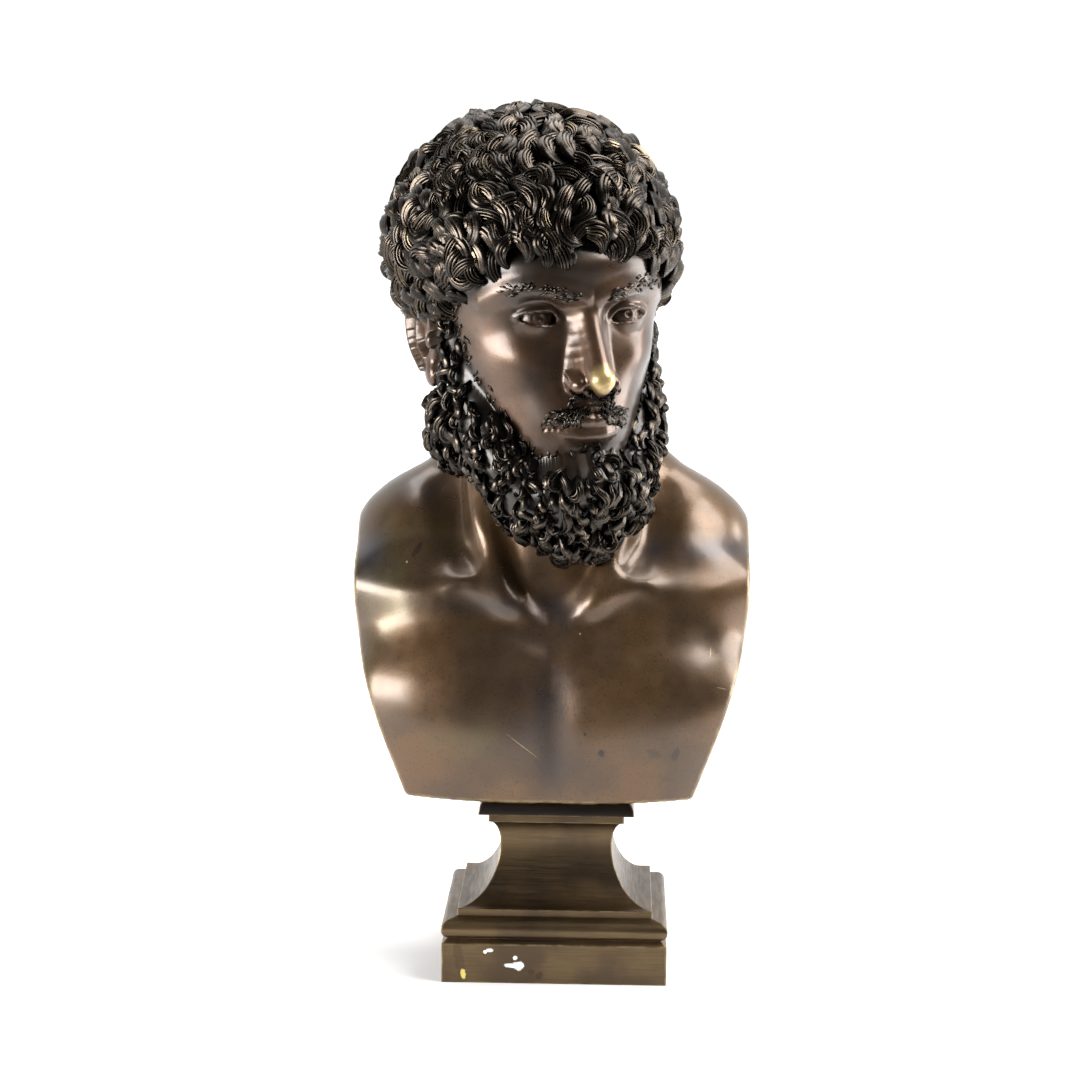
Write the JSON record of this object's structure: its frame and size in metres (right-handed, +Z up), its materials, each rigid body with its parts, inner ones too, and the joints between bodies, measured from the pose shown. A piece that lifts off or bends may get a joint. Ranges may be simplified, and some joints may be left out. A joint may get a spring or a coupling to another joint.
{
  "type": "bust",
  "caption": "Bronze portrait bust of a bearded man with thick curls and bare chest, head turned aside, on a square moulded plinth.",
  "frame": {"origin": "middle of the plinth's underside, on the surface that the work stands on", "axes": "+Z up; -Y is the front, which the chest faces; +X is to the right of someone looking at the front"},
  "size_m": [0.1562, 0.1342, 0.3424],
  "materials": {
    "bust_bronze": "brown-patinated cast bronze, satin to glossy, golden where rubbed, near-black in the curls and in cloudy patches",
    "plinth_bronze": "brown-patinated bronze with fine level tooling lines, satin, with a few flecks of pale paint on the block"
  },
  "bodies": {
    "root": {"bust": "bust_bronze", "plinth": "plinth_bronze"}
  },
  "joints": []
}
